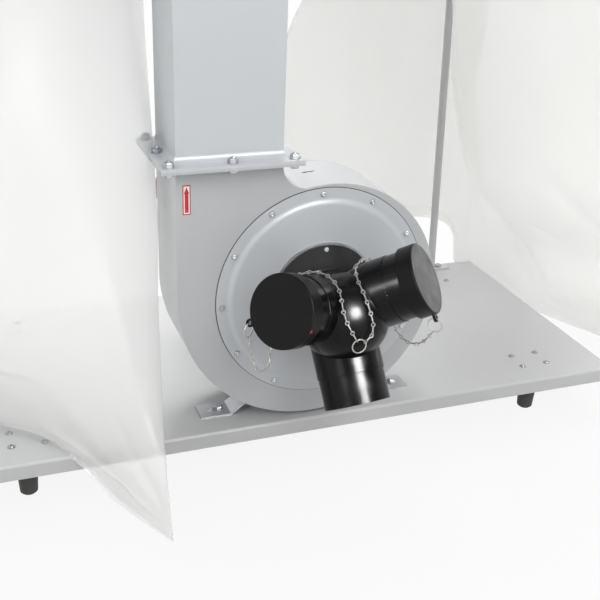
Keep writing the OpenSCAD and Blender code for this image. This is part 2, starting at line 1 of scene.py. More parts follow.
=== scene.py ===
# %% [markdown]
# A two-bag chip extractor. A blower stands on a folded steel plate, a black three-way inlet is
# screwed to its front, and a square duct carries the chips up to two drums. Film bags hang
# under the drums and catch the chips; cloth bags stand on top and let the clean air out.
# The hard parts come from the CAD frame. This lesson gives them their finishes, adds the small
# fittings, and builds the film and the cloth.

# %% The frame
import json
import math
import bpy
import numpy as np
from mathutils import Matrix, Vector, noise


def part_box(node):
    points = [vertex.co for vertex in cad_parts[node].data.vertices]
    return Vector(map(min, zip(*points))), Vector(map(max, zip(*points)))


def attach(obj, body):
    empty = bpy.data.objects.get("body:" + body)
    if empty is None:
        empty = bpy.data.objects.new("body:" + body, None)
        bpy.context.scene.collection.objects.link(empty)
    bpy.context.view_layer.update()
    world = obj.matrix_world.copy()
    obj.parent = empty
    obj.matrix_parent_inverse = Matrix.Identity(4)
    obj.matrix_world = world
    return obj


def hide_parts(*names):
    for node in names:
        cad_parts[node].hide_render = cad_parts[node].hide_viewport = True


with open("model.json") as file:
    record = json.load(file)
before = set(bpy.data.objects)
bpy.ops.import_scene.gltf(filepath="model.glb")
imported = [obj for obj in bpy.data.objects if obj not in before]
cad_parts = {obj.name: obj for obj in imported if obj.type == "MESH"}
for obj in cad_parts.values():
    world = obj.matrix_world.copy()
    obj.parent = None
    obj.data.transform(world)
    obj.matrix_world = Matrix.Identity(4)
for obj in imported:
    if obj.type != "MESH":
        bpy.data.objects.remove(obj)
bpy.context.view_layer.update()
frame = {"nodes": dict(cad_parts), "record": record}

part = frame["nodes"]

# %% [markdown]
# Every place in this lesson is measured from the plate, because the workshop does the same:
# x from the plate's middle, y back from its front edge, z up from its top. One helper turns
# such a place, in millimetres, into a point of the frame. The fan's axis is a little right of
# the middle.

# %% Places on the plate
plate_low, plate_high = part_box("base_plate")
plate_front, plate_top = plate_low.y, plate_high.z
plate_half = round((plate_high.x - plate_low.x) * 500)
plate_deep = round((plate_high.y - plate_front) * 1000)
fan_x, fan_z = 7, 216


def on_plate(x, y, z):
    return Vector((x / 1000, plate_front + y / 1000, plate_top + z / 1000))


print("plate", 2 * plate_half, "by", plate_deep, "its top at", round(plate_top, 3))

# %% [markdown]
# The camera looks down on the blower from the front left, about as high as a person who bends
# to read the inlet. It is made from three directions at right angles, so no tracking
# constraint is needed, and a long lens keeps the round parts round.

# %% Camera
lens_length, sensor_width = 58.18, 36
view_from = on_plate(-524.0, -1263.4, 840.7)
forward = Vector((0.3277, 0.8467, -0.4192)).normalized()
side = forward.cross(Vector((0.1145, 0.4049, 0.9072))).normalized()
up = side.cross(forward)
camera = bpy.data.objects.new("camera", bpy.data.cameras.new("camera"))
bpy.context.scene.collection.objects.link(camera)
camera.matrix_world = Matrix((
    (side.x, up.x, -forward.x, view_from.x),
    (side.y, up.y, -forward.y, view_from.y),
    (side.z, up.z, -forward.z, view_from.z),
    (0, 0, 0, 1),
))
camera.data.lens = lens_length
camera.data.sensor_width = sensor_width
bpy.context.scene.camera = camera
print("camera at", [round(c, 3) for c in view_from])

# %% [markdown]
# The world, the floor and every finish are trees of nodes. Three short helpers make them easy
# to read: one places a node with its links and values, one does a sum, and one moves a value
# from one range to another.

# %% Node helpers


def put(tree, kind, links=(), **values):
    """A node of that kind. links are (input, output socket or value), values its own settings."""
    node = tree.nodes.new("ShaderNode" + kind)
    for key, value in values.items():
        setattr(node, key, value)
    for name, source in links:
        if hasattr(source, "is_output"):
            tree.links.new(source, node.inputs[name])
        else:
            node.inputs[name].default_value = source
    return node


def worked(tree, operation, *values):
    """The result of one Math node."""
    return put(tree, "Math", enumerate(values), operation=operation).outputs[0]


def span(tree, source, low, high, to_low, to_high, **values):
    """A value moved from one range to another and kept inside it."""
    node = put(tree, "MapRange", [("Value", source), ("From Min", low), ("From Max", high),
                                  ("To Min", to_low), ("To Max", to_high)], **values)
    return node.outputs["Result"]


print("node helpers ready")

# %% [markdown]
# A machine like this is shown on white. The world and the floor are white to the camera and to
# mirror-like surfaces, and dimmer to everything else, so the paint keeps its own tone. The
# Light Path node tells the kinds of ray apart. High up in front, where the studio is unlit
# behind the camera, the world fades to dark grey: that is what gives polished black its depth.

# %% World
scene = bpy.context.scene
scene.view_settings.view_transform = "Standard"
matt_light = 0.58
shown_low, shown_high = 0.97, 0.14
fade_up, fade_ahead = (0.16, 0.4), (0.2, -0.3)


def seen_ray(tree):
    """1 for rays from the camera, off a mirror or through glass, and 0 for the others."""
    path = put(tree, "LightPath")
    total = path.outputs["Is Camera Ray"]
    for name in ("Is Glossy Ray", "Is Transmission Ray"):
        total = worked(tree, "MAXIMUM", total, path.outputs[name])
    return total


world = bpy.data.worlds.new("studio")
world.use_nodes = True
scene.world = world
tree = world.node_tree
tree.nodes.clear()
aim = put(tree, "SeparateXYZ", [(0, put(tree, "TexCoord").outputs["Generated"])])
high = span(tree, aim.outputs["Z"], *fade_up, 0.0, 1.0, interpolation_type="SMOOTHSTEP")
ahead = span(tree, aim.outputs["Y"], *fade_ahead, 0.0, 1.0, interpolation_type="SMOOTHSTEP")
fade = span(tree, worked(tree, "MULTIPLY", high, ahead), 0.0, 1.0, shown_low, shown_high)
plain = put(tree, "Background", [("Color", (1, 1, 1, 1)), ("Strength", matt_light)])
shown = put(tree, "Background", [("Color", (1, 1, 1, 1)), ("Strength", fade)])
mix = put(tree, "MixShader", [("Fac", seen_ray(tree)), (1, plain.outputs[0]), (2, shown.outputs[0])])
put(tree, "OutputWorld", [("Surface", mix.outputs[0])])
print("world", len(tree.nodes), "nodes")

# %% [markdown]
# The floor is one plain sheet. It shows white where the light falls and keeps a soft shadow
# under the plate: most of what the camera sees of it is its own white, the rest is lit. It lies
# a hair under the feet, so that the two don't share a plane.

# %% Floor
floor_reach, floor_drop = 14, 0.0005
white_share = 0.9
floor_mesh = bpy.data.meshes.new("floor")
floor_corners = [(x * floor_reach, y * floor_reach, 0) for x, y in ((-1, -1), (1, -1), (1, 1), (-1, 1))]
floor_mesh.from_pydata(floor_corners, [], [(0, 1, 2, 3)])
floor = bpy.data.objects.new("floor", floor_mesh)
scene.collection.objects.link(floor)
floor.location.z = -floor_drop
material = bpy.data.materials.new("floor white")
material.use_nodes = True
tree = material.node_tree
tree.nodes.clear()
lit = put(tree, "BsdfDiffuse", [("Color", (0.5, 0.5, 0.5, 1))])
white = put(tree, "Emission")
share = worked(tree, "MULTIPLY", seen_ray(tree), white_share)
mix = put(tree, "MixShader", [("Fac", share), (1, lit.outputs[0]), (2, white.outputs[0])])
put(tree, "OutputMaterial", [("Surface", mix.outputs[0])])
floor_mesh.materials.append(material)
print("floor", floor.dimensions[:2])

# %% [markdown]
# Soft boxes give the black moulding its round highlights and its long streaks. The key stands
# in front, a little to the right and above; a broad one stands far out on the left, and one far
# out at the right rim. Light that should fill without a highlight of its own comes from boxes
# that mirrors don't see, and the highlights' strength is set apart from the fill. Polished black
# returns only about a hundredth of what it mirrors, so it gets a strong key and a strong left
# lamp of its own, which light nothing else. A small lamp by the right cap lights its flat face.

# %% Lights
centre = on_plate(fan_x, 0, fan_z)
polished = bpy.data.collections.new("polished moulding")
polished.objects.link(part["inlet_body"])


def soft_box(name, azimuth, elevation, distance, size, fill, shine=0.0, only=None):
    """A square lamp that looks at the blower. Azimuth 0 is straight in front, 90 is right.
    fill is its power in watts for matt surfaces, shine the power that mirrors see, and only
    the collection that it lights, if that isn't everything."""
    a, e = math.radians(azimuth), math.radians(elevation)
    way = Vector((math.sin(a) * math.cos(e), -math.cos(a) * math.cos(e), math.sin(e)))
    place = centre + distance * way
    for kind, watts in (("fill", fill), ("shine", shine)):
        if not watts:
            continue
        lamp = bpy.data.lights.new(name + " " + kind, "AREA")
        lamp.size = size
        lamp.energy = watts
        ob = bpy.data.objects.new(lamp.name, lamp)
        ob.location = place
        ob.rotation_euler = (centre - place).to_track_quat("-Z", "Y").to_euler()
        ob.visible_camera = False
        ob.visible_diffuse = kind == "fill"
        ob.visible_glossy = kind == "shine"
        ob.light_linking.receiver_collection = only
        scene.collection.objects.link(ob)


soft_box("key", 10, 32, 3.0, 1.1, fill=16, shine=260)
soft_box("polish key", 10, 32, 3.0, 0.65, fill=0, shine=1250, only=polished)
soft_box("overhead", 150, 66, 12.0, 7.0, fill=1750)
soft_box("front top", 14, 57, 5.0, 2.8, fill=56)
soft_box("left", -66, 28, 6.4, 2.6, fill=128, shine=240)
soft_box("polish left", -62, 30, 3.2, 0.7, fill=0, shine=300, only=polished)
soft_box("right rim", 114, 8, 6.0, 3.2, fill=76, shine=240)
soft_box("cap face", 95, 10, 0.434, 0.3, fill=0, shine=0.42)

# %% [markdown]
# Several finishes share an effect, such as the fine ripple of powder coat. Each effect is a node
# group with named inputs and outputs, built once and placed in each finish with its own values.
# These helpers open a group, close it, and make the patterns that most effects start from.

# %% Effect helpers


def effect(name, inputs, outputs):
    """An empty node group with these sockets: its tree, its entry and its exit."""
    tree = bpy.data.node_groups.new(name, "ShaderNodeTree")
    for kind, label, value in inputs:
        socket = tree.interface.new_socket(label, in_out="INPUT", socket_type="NodeSocket" + kind)
        socket.default_value = value
    for kind, label in outputs:
        tree.interface.new_socket(label, in_out="OUTPUT", socket_type="NodeSocket" + kind)
    return tree, tree.nodes.new("NodeGroupInput"), tree.nodes.new("NodeGroupOutput")


def give(tree, leave, **results):
    """Links what the effect has worked out to the group's outputs."""
    for label, source in results.items():
        tree.links.new(source, leave.inputs[label])
    print("group", tree.name, "gives", list(results))


def mottle(tree, place, scale, detail, distortion=0.0):
    """A cloudy noise at the place. scale is about how many clouds there are in a metre."""
    node = put(tree, "TexNoise", [("Vector", place), ("Scale", scale), ("Detail", detail),
                                  ("Distortion", distortion)])
    return node.outputs["Fac"]


def mapped(tree, place, stretch):
    """The place on the object, stretched for patterns that run one way."""
    return put(tree, "Mapping", [("Vector", place), ("Scale", stretch)]).outputs["Vector"]


def tint(tree, colour, by, amount):
    """The colour made lighter or darker by a value round 0.5."""
    change = span(tree, by, 0.0, 1.0, -1.0, 1.0)
    more = worked(tree, "ADD", worked(tree, "MULTIPLY", change, amount), 1.0)
    return put(tree, "VectorMath", [(0, colour), ("Scale", more)], operation="SCALE").outputs["Vector"]


print("effect helpers ready")

# %% [markdown]
# Powder coat is a plastic skin baked on steel. Close up it has a shallow ripple, like orange
# peel, and the tone drifts very slightly over a big panel. The ripple is a fine noise used as
# height; the drift is a broad noise used on the colour, and a middling one varies the gloss.

# %% Powder coat
tree, enter, leave = effect(
    "powder coat",
    [("Color", "Colour", (0.5, 0.5, 0.5, 1)), ("Float", "Ripple Size", 420.0), ("Float", "Drift", 0.03),
     ("Float", "Gloss", 0.36)],
    [("Color", "Colour"), ("Float", "Roughness"), ("Float", "Height")],
)
place = put(tree, "TexCoord").outputs["Object"]
drift = mottle(tree, place, 3.5, 3.0)
ripple = mottle(tree, place, enter.outputs["Ripple Size"], 2.0)
handled = span(tree, mottle(tree, place, 60.0, 4.0), 0.3, 0.7, -0.02, 0.03)
give(tree, leave, Colour=tint(tree, enter.outputs["Colour"], drift, enter.outputs["Drift"]),
     Roughness=worked(tree, "ADD", handled, enter.outputs["Gloss"]), Height=ripple)

# %% [markdown]
# Steel fittings are zinc plated. The plating is bright but cloudy: small crystals give it
# patches of different gloss, and handling leaves faint directional marks.

# %% Zinc plate
tree, enter, leave = effect(
    "zinc plate",
    [("Color", "Colour", (0.46, 0.47, 0.49, 1)), ("Float", "Cloud Size", 60.0)],
    [("Color", "Colour"), ("Float", "Roughness"), ("Float", "Height")],
)
place = put(tree, "TexCoord").outputs["Object"]
cloud = mottle(tree, place, enter.outputs["Cloud Size"], 5.0)
streak = mottle(tree, mapped(tree, place, (900, 900, 60)), 1.0, 2.0)
give(tree, leave, Colour=tint(tree, enter.outputs["Colour"], cloud, 0.1),
     Roughness=span(tree, cloud, 0.3, 0.7, 0.3, 0.42), Height=streak)

# %% [markdown]
# Mouldings are either polished or grained. One group serves both: it puts out a leathery grain
# of small cells and a few soft flow marks, and each material decides how deep the grain is.

# %% Moulding
tree, enter, leave = effect(
    "moulded skin",
    [("Color", "Colour", (0.02, 0.02, 0.02, 1)), ("Float", "Grain Size", 700.0), ("Float", "Gloss", 0.2)],
    [("Color", "Colour"), ("Float", "Roughness"), ("Float", "Height")],
)
place = put(tree, "TexCoord").outputs["Object"]
cell = put(tree, "TexVoronoi", [("Vector", place), ("Scale", enter.outputs["Grain Size"])])
flow = mottle(tree, mapped(tree, place, (14, 14, 5)), 1.0, 4.0, 0.6)
dirt = span(tree, mottle(tree, place, 40.0, 6.0), 0.35, 0.7, -0.03, 0.07)
give(tree, leave, Colour=tint(tree, enter.outputs["Colour"], flow, 0.25),
     Roughness=worked(tree, "ADD", dirt, enter.outputs["Gloss"]), Height=cell.outputs["Distance"])

# %% [markdown]
# Polyethylene film is thin, milky and never even: it is denser in bands where it was blown,
# and it swells softly, with a thin crease here and there where the roll had pinched it. A
# crease is where a wandering noise passes through its middle value, kept only in some places.
# The group also puts out an alpha, which says how much of what lies behind is hidden.

# %% Film
tree, enter, leave = effect(
    "blown film",
    [("Color", "Colour", (0.83, 0.835, 0.82, 1)), ("Float", "Cover", 0.45), ("Float", "Swell Size", 6.0)],
    [("Color", "Colour"), ("Float", "Alpha"), ("Float", "Roughness"), ("Float", "Height")],
)
place = put(tree, "TexCoord").outputs["Object"]
band = mottle(tree, mapped(tree, place, (3, 3, 0.8)), 1.0, 2.0)
swell = mottle(tree, mapped(tree, place, (1, 1, 0.6)), enter.outputs["Swell Size"], 1.5)
wander = mottle(tree, mapped(tree, place, (1, 1, 0.5)), 5.0, 2.0, 0.7)
away = worked(tree, "ABSOLUTE", worked(tree, "SUBTRACT", wander, 0.5))
pinched = span(tree, away, 0.0, 0.012, 1.0, 0.0)
sparse = span(tree, band, 0.5, 0.62, 0.0, 0.12)
cover = worked(tree, "ADD", span(tree, band, 0.3, 0.7, -0.03, 0.03), enter.outputs["Cover"])
give(tree, leave, Colour=tint(tree, enter.outputs["Colour"], band, 0.02), Alpha=cover,
     Roughness=span(tree, swell, 0.3, 0.7, 0.3, 0.38),
     Height=worked(tree, "ADD", swell, worked(tree, "MULTIPLY", pinched, sparse)))

# %% [markdown]
# The filter bags are needle felt: short fibres punched into a mat, matt and warm white, with a
# fuzz that shows as tiny relief and faint blotches where dust has settled.

# %% Felt
tree, enter, leave = effect(
    "needle felt",
    [("Color", "Colour", (0.56, 0.55, 0.515, 1)), ("Float", "Fibre Size", 380.0)],
    [("Color", "Colour"), ("Float", "Roughness"), ("Float", "Height")],
)
place = put(tree, "TexCoord").outputs["Object"]
fuzz = mottle(tree, place, enter.outputs["Fibre Size"], 8.0, 1.5)
blotch = mottle(tree, place, 6.0, 5.0)
dusty = tint(tree, enter.outputs["Colour"], blotch, 0.07)
give(tree, leave, Colour=tint(tree, dusty, fuzz, 0.12), Roughness=span(tree, fuzz, 0.3, 0.7, 0.82, 0.97),
     Height=fuzz)

# %% [markdown]
# A finish is one material: a group for what changes over the surface, the Principled shader,
# and a Bump node between the group's height and the shader's normal. Whatever is the same all
# over goes on the shader's own sockets. Moulded edges are never perfectly sharp, so the big
# mouldings also get a Bevel node, which rounds edges in the shading only.

# %% How a finish is made


def finish(name, group, bump, given=(), edge=0.0, **sockets):
    """A material that runs on one effect. bump is (strength, distance in metres), given are the
    effect's own values, and edge is the radius that a Bevel node rounds edges to."""
    material = bpy.data.materials.new(name)
    material.use_nodes = True
    tree = material.node_tree
    shader = tree.nodes["Principled BSDF"]
    source = put(tree, "Group", node_tree=bpy.data.node_groups[group])
    for label, value in dict(given).items():
        source.inputs[label].default_value = value
    tree.links.new(source.outputs["Colour"], shader.inputs["Base Color"])
    tree.links.new(source.outputs["Roughness"], shader.inputs["Roughness"])
    if "Alpha" in source.outputs:
        tree.links.new(source.outputs["Alpha"], shader.inputs["Alpha"])
    relief = put(tree, "Bump", [("Height", source.outputs["Height"]), ("Strength", bump[0]),
                                ("Distance", bump[1])])
    if edge:
        soft = put(tree, "Bevel", [("Radius", edge)], samples=4)
        tree.links.new(soft.outputs["Normal"], relief.inputs["Normal"])
    tree.links.new(relief.outputs["Normal"], shader.inputs["Normal"])
    for label, value in sockets.items():
        shader.inputs[label.replace("_", " ")].default_value = value
    return material


print("finish maker ready")

# %% [markdown]
# Most of this machine is powder coat, moulded plastic or film, so each of these kinds gets a
# short maker that asks only for what differs. Greys are written as a screen shows them, from 0
# to 255, and turned into the linear values that Blender works with.

# %% Makers for each kind


def grey(value, warm=0.0):
    """A nearly neutral colour, written as screen values from 0 to 255."""
    def linear(v):
        v /= 255
        return v / 12.92 if v <= 0.04045 else ((v + 0.055) / 1.055) ** 2.4
    return (linear(value + warm), linear(value), linear(value - warm), 1)


def paint(name, colour, gloss, shine=0.28):
    """Powder coat. gloss is its roughness, shine how strongly it mirrors."""
    return finish(name, "powder coat", (0.05, 0.0002), {"Colour": colour, "Gloss": gloss},
                  Specular_IOR_Level=shine)


def moulding(name, colour, gloss, bump, grain=700.0, edge=0.0, shine=0.5):
    """A plastic or rubber moulding, with as many grains in a metre as grain says."""
    return finish(name, "moulded skin", bump, {"Colour": (*colour, 1), "Gloss": gloss, "Grain Size": grain},
                  edge, Specular_IOR_Level=shine)


def film(name, **given):
    """Film that hides a little less than half of what lies behind it."""
    return finish(name, "blown film", (0.25, 0.004), {"Cover": 0.43, **given})


print("paint, moulding and film makers ready")

# %% [markdown]
# Each slot of the frame has one finish here. The grey paint differs a little from sheet to
# sheet: the plate's is flatter and the cover's brighter. The inlet is polished, its caps are
# grained, and rubber is duller than both.

# %% Finishes
finishes = {
    "plate_paint": paint("plate paint", grey(192, -0.5), 0.42, shine=0.16),
    "housing_paint": paint("housing paint", grey(183, -1.5), 0.33),
    "cover_paint": paint("cover paint", grey(193, -3), 0.31),
    "duct_paint": paint("duct paint", grey(194, -3), 0.34),
    "strut_paint": paint("strut paint", grey(196, -1), 0.36),
    "motor_paint": paint("motor paint", grey(168, -1), 0.36),
    "zinc": finish("zinc", "zinc plate", (0.03, 0.0001), Metallic=1.0),
    "chain_steel": finish("chain nickel", "zinc plate", (0.03, 0.0001),
                          {"Colour": (0.5, 0.49, 0.47, 1), "Cloud Size": 260.0}, Metallic=1.0),
    "inlet_plastic": moulding("inlet moulding", (0.0025, 0.0025, 0.003), 0.19, (0.03, 0.0001),
                              edge=0.001, shine=0.16),
    "cap_plastic": moulding("cap moulding", (0.004, 0.004, 0.0043), 0.38, (0.35, 0.0003), grain=900.0,
                            edge=0.0006, shine=0.13),
    "foot_rubber": moulding("foot rubber", (0.03, 0.028, 0.025), 0.6, (0.25, 0.0003), grain=500.0),
    "dark_plastic": moulding("dark moulding", (0.014, 0.014, 0.016), 0.48, (0.2, 0.0002), edge=0.0015,
                             shine=0.2),
    "red_plastic": moulding("red moulding", (0.5, 0.01, 0.012), 0.25, (0.05, 0.0002), edge=0.001),
    "bag_film": film("bag film"),
    "filter_cloth": finish("filter felt", "needle felt", (0.5, 0.0006)),
}
print("finishes", len(finishes))

# %% [markdown]
# The frame says which slot each CAD node has, so one loop finishes them all. Two nodes differ
# from the rest of their slot. The strip round the housing is smoother than its flat walls and
# mirrors more, and its grey is lighter: painted light, for the brighter light on its top. The
# inlet's flange has a matt skin, while the rest of the inlet is polished.

# %% Finishes on the CAD nodes
slot_of = {p["node"]: p["material_slot"] for p in frame["record"]["subparts"]}
special = {
    "inlet_flange": moulding("inlet flange moulding", (0.036, 0.036, 0.037), 0.36, (0.1, 0.0002), shine=0.3),
    # the strip's lighter grey is painted light, for the light that falls on its top
    "scroll_wrapper": paint("rolled strip paint with painted light", grey(197, -1.5), 0.3, shine=0.6),
}
for name, node in part.items():
    node.data.materials.clear()
    node.data.materials.append(special.get(name, finishes[slot_of[name]]))
print("painted", len(part), "nodes")

# %% [markdown]
# Every added piece needs a mesh, its finish, which is its slot's finish unless another is given,
# and the body it rides on. This machine has no joints, so everything rides on the root.

# %% Adding pieces


def add(name, shape, slot, material=None, smooth=True):
    """A shape, which is a list of points and a list of faces, as a piece of the machine."""
    mesh = bpy.data.meshes.new(name)
    mesh.from_pydata([tuple(v) for v in shape[0]], [], [tuple(f) for f in shape[1]])
    mesh.validate()
    mesh.materials.append(material or finishes[slot])
    if smooth:
        mesh.shade_smooth()
    piece = bpy.data.objects.new(name, mesh)
    scene.collection.objects.link(piece)
    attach(piece, "root")
    return piece


print("adder ready")

# %% [markdown]
# Fittings are turned shapes: a profile goes round an axis in steps, and the rings of points are
# joined by faces with four corners. A finished shape is then put at one or many places.

# %% Turned shapes


def quads(rings, count, closed=False):
    """Faces between rings of count points, and from the last ring to the first if closed."""
    faces = []
    for j in range(rings if closed else rings - 1):
        for i in range(count):
            k, m = (i + 1) % count, (j + 1) % rings
            faces.append((j * count + i, j * count + k, m * count + k, m * count + i))
    return faces


def spun(profile, count):
    """A profile of (radius, height) turned about Z in count steps, closed at both ends."""
    points = []
    for r, h in profile:
        for i in range(count):
            a = 2 * math.pi * i / count
            points.append(Vector((r * math.cos(a), r * math.sin(a), h)))
    last = len(points) - count
    ends = [tuple(range(count))[::-1], tuple(last + i for i in range(count))]
    return points, quads(len(profile), count) + ends


def together(*shapes):
    """Several (shape, place) pairs as one shape."""
    points, faces = [], []
    for shape, place in shapes:
        start = len(points)
        points += [place @ p for p in shape[0]]
        faces += [tuple(start + i for i in f) for f in shape[1]]
    return points, faces


def copies(shape, places):
    return together(*[(shape, place) for place in places])


print("a peg has", len(spun([(1, 0), (1, 2)], 32)[1]), "faces")

# %% [markdown]
# A place is a matrix: where the fitting stands, which way it looks, and how far it is turned.
# Screws and bolts mostly stand in a circle or in the corners of the part that they hold.

# %% Places for fittings


def lifted(z):
    return Matrix.Translation((0, 0, z))


def facing(point, direction, turn=0.0):
    """A place at the point whose Z looks along the direction."""
    look = Vector(direction).to_track_quat("Z", "Y").to_matrix().to_4x4()
    return Matrix.Translation(point) @ look @ Matrix.Rotation(turn, 4, "Z")


def bolt_circle(axis, y, radius, count, first, direction, turn):
    """count places on a circle round the axis, at that y, the first at that many degrees. Each
    is turned further than the one before, so that their recesses don't all point one way."""
    places = []
    for i in range(count):
        a = math.radians(first + 360 / count * i)
        spot = Vector((axis.x + radius * math.cos(a), y, axis.z + radius * math.sin(a)))
        places.append(facing(spot, direction, turn * i))
    return places


def corners(low, high, inset, z):
    """The four points at the height z that lie inside a box's corners."""
    return [Vector((x, y, z)) for x in (low.x + inset, high.x - inset)
            for y in (low.y + inset, high.y - inset)]


print("places ready")

# %% [markdown]
# A recess is cut with a Boolean. The modifier works on objects, so the shape and the cutter
# become objects for a moment, and the result is read back as points and faces.

# %% Cutting a recess


def as_object(shape):
    mesh = bpy.data.meshes.new("blank")
    mesh.from_pydata([tuple(p) for p in shape[0]], [], shape[1])
    ob = bpy.data.objects.new("blank", mesh)
    scene.collection.objects.link(ob)
    return ob


def cut(shape, tool):
    """The shape less the tool, as points and faces."""
    body, knife = as_object(shape), as_object(tool)
    modifier = body.modifiers.new("cut", "BOOLEAN")
    modifier.operation, modifier.object, modifier.solver = "DIFFERENCE", knife, "EXACT"
    result = bpy.data.meshes.new_from_object(body.evaluated_get(bpy.context.evaluated_depsgraph_get()))
    points = [v.co.copy() for v in result.vertices]
    faces = [tuple(p.vertices) for p in result.polygons]
    for ob in (body, knife):
        bpy.data.objects.remove(ob)
    return points, faces


def block(x, y, z, at=(0, 0, 0)):
    points = [Vector((at[0] + a * x / 2, at[1] + b * y / 2, at[2] + c * z / 2))
              for a in (-1, 1) for b in (-1, 1) for c in (-1, 1)]
    return points, [(0, 1, 3, 2), (4, 6, 7, 5), (0, 4, 5, 1), (2, 3, 7, 6), (0, 2, 6, 4), (1, 5, 7, 3)]


print("a block has", len(block(1, 1, 1)[1]), "faces")

# %% [markdown]
# Pan-head screws hold the round cover to the housing. A pan head is a low dome with a cross
# recess: the dome is a turned profile, and two blocks cut the cross. That is done once for each
# size of screw, and the finished screw is copied, so that all share one careful shape.

# %% Pan-head screw


def pan_screw(head_r, head_h):
    """A pan head of that radius and height, its base at 0."""
    dome = [(0.93, 0.0), (1.0, 0.18), (0.97, 0.5), (0.82, 0.82), (0.55, 0.96), (0.2, 1.0)]
    long, wide = head_r * 1.15, head_r * 0.26
    head = spun([(head_r * r, h * head_h) for r, h in dome], 32)
    for x, y in ((long, wide), (wide, long)):
        head = cut(head, block(x, y, head_h, (0, 0, head_h)))
    return head


screw = pan_screw(0.0047, 0.0032)
print("screw", len(screw[0]), "points")

# %% [markdown]
# Twelve screws go round the cover's rim. The circle's middle is that of the cover, and the face
# that the heads press on follows from the cover's box and its sheet's thickness.

# %% Cover screws
cover_low, cover_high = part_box("fan_cover")
axis = (cover_low + cover_high) / 2
cover_sheet, cover_circle = 0.002, 0.163
rim_face = cover_high.y - cover_sheet
cover_places = bolt_circle(axis, rim_face, cover_circle, 12, 2, (0, -1, 0), 0.9)
add("cover_screws", copies(screw, cover_places), "zinc")
print("cover axis", round(axis.x, 4), round(axis.z, 4))

# %% [markdown]
# A thin dark ring with the feet's rubber finish lies under the cover's edge. It is painted
# shade: it draws the dark line of the gap between the cover and the housing. Its section is a
# flat rectangle that goes once round the axis.

# %% Cover gap shade
gap_shade_inner, gap_shade_outer, gap_shade_thick, gap_shade_steps = 0.168, 0.1726, 0.0008, 160
gap_shade_front = cover_high.y - gap_shade_thick
gap_shade_points = []
for radius, y in ((gap_shade_inner, cover_high.y), (gap_shade_outer, cover_high.y), (gap_shade_outer, gap_shade_front),
                  (gap_shade_inner, gap_shade_front)):
    for i in range(gap_shade_steps):
        a = 2 * math.pi * i / gap_shade_steps
        gap_shade_points.append((axis.x + radius * math.cos(a), y, axis.z + radius * math.sin(a)))
# the dark ring is painted shade, the shadow in the gap round the cover's edge
add("cover_gap_shade", (gap_shade_points, quads(4, gap_shade_steps, closed=True)), "foot_rubber", smooth=False)
print("gap_shade", len(gap_shade_points), "points")

# %% [markdown]
# Six smaller screws hold the inlet's flange, on a circle round the same axis.

# %% Flange screws
flange_thick, flange_circle = 0.0035, 0.0763
flange_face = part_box("inlet_ring")[0].y - flange_thick
flange_places = bolt_circle(axis, flange_face, flange_circle, 6, 90, (0, -1, 0), 0.7)
add("flange_screws", copies(pan_screw(0.004, 0.0026), flange_places), "zinc")
print("flange face at", round(flange_face, 4))

# %% [markdown]
# Hexagon bolts join the sheet-metal parts. Each has a washer, a head with a chamfered top, and
# where the other side shows, a nut with the end of the thread. A profile turned in six steps
# gives the head and its chamfer directly. All sizes are shares of the thread's diameter.

# %% Hexagon bolts


def hexagon(r, h):
    """A head r across its corners, with a chamfer and a small raised disc on top."""
    return spun([(r, 0.0), (r, 0.78 * h), (0.86 * r, 0.98 * h), (0.8 * r, h)], 6)


def washer(r, hole, t):
    return spun([(hole, 0.0), (r, 0.15 * t), (r, 0.8 * t), (r * 0.97, t), (hole, t)], 32)


def on_washer(size, height):
    """A hexagon of that height on its washer. size is the thread's diameter."""
    thick = size * 0.16
    return together((washer(size * 1.05, size * 0.5, thick), lifted(0)),
                    (hexagon(size * 0.94, height), lifted(thick)))


def bolt(size):
    return on_washer(size, size * 0.6)


def nut(size):
    """A nut on its washer, with two turns of thread standing out."""
    tip = spun([(size * 0.48, 0), (size * 0.48, size * 1.05), (size * 0.4, size * 1.18)], 24)
    return together((on_washer(size, size * 0.8), lifted(0)), (tip, lifted(0)))


print("bolt", len(bolt(0.008)[0]), "points")

# %% [markdown]
# Eight bolts go up through the outlet's flange and the duct's, one in each corner and one in
# the middle of each side. Their nuts are on top.

# %% Outlet bolts
thread, duct_flange, flange_inset = 0.008, 0.004, 0.0125
flange_low, flange_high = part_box("outlet_flange")
middle = (flange_low + flange_high) / 2
xs = [flange_low.x + flange_inset, middle.x, flange_high.x - flange_inset]
ys = [flange_low.y + flange_inset, middle.y, flange_high.y - flange_inset]
spots = [(x, y) for x in xs for y in ys if (x, y) != (middle.x, middle.y)]
tops = [facing((x, y, flange_high.z + duct_flange), (0, 0, 1), 0.6 * i) for i, (x, y) in enumerate(spots)]
unders = [facing((x, y, flange_low.z), (0, 0, -1), 0.8 * i) for i, (x, y) in enumerate(spots)]
add("outlet_nuts", copies(nut(thread), tops), "zinc", smooth=False)
add("outlet_bolts", copies(bolt(thread), unders), "zinc", smooth=False)
print("outlet bolts", len(spots))

# %% [markdown]
# On the plate, one bolt holds each bracket and each strut, and four small screws with washers
# hold each foot. At the back the outer screw lies under the strut's foot, so it is left out.

# %% Bolts on the plate


def upright(shape, spots, turn):
    """Copies that stand on the plate, each turned by its own x."""
    return copies(shape, [facing(on_plate(*p), (0, 0, 1), turn(p[0])) for p in spots])


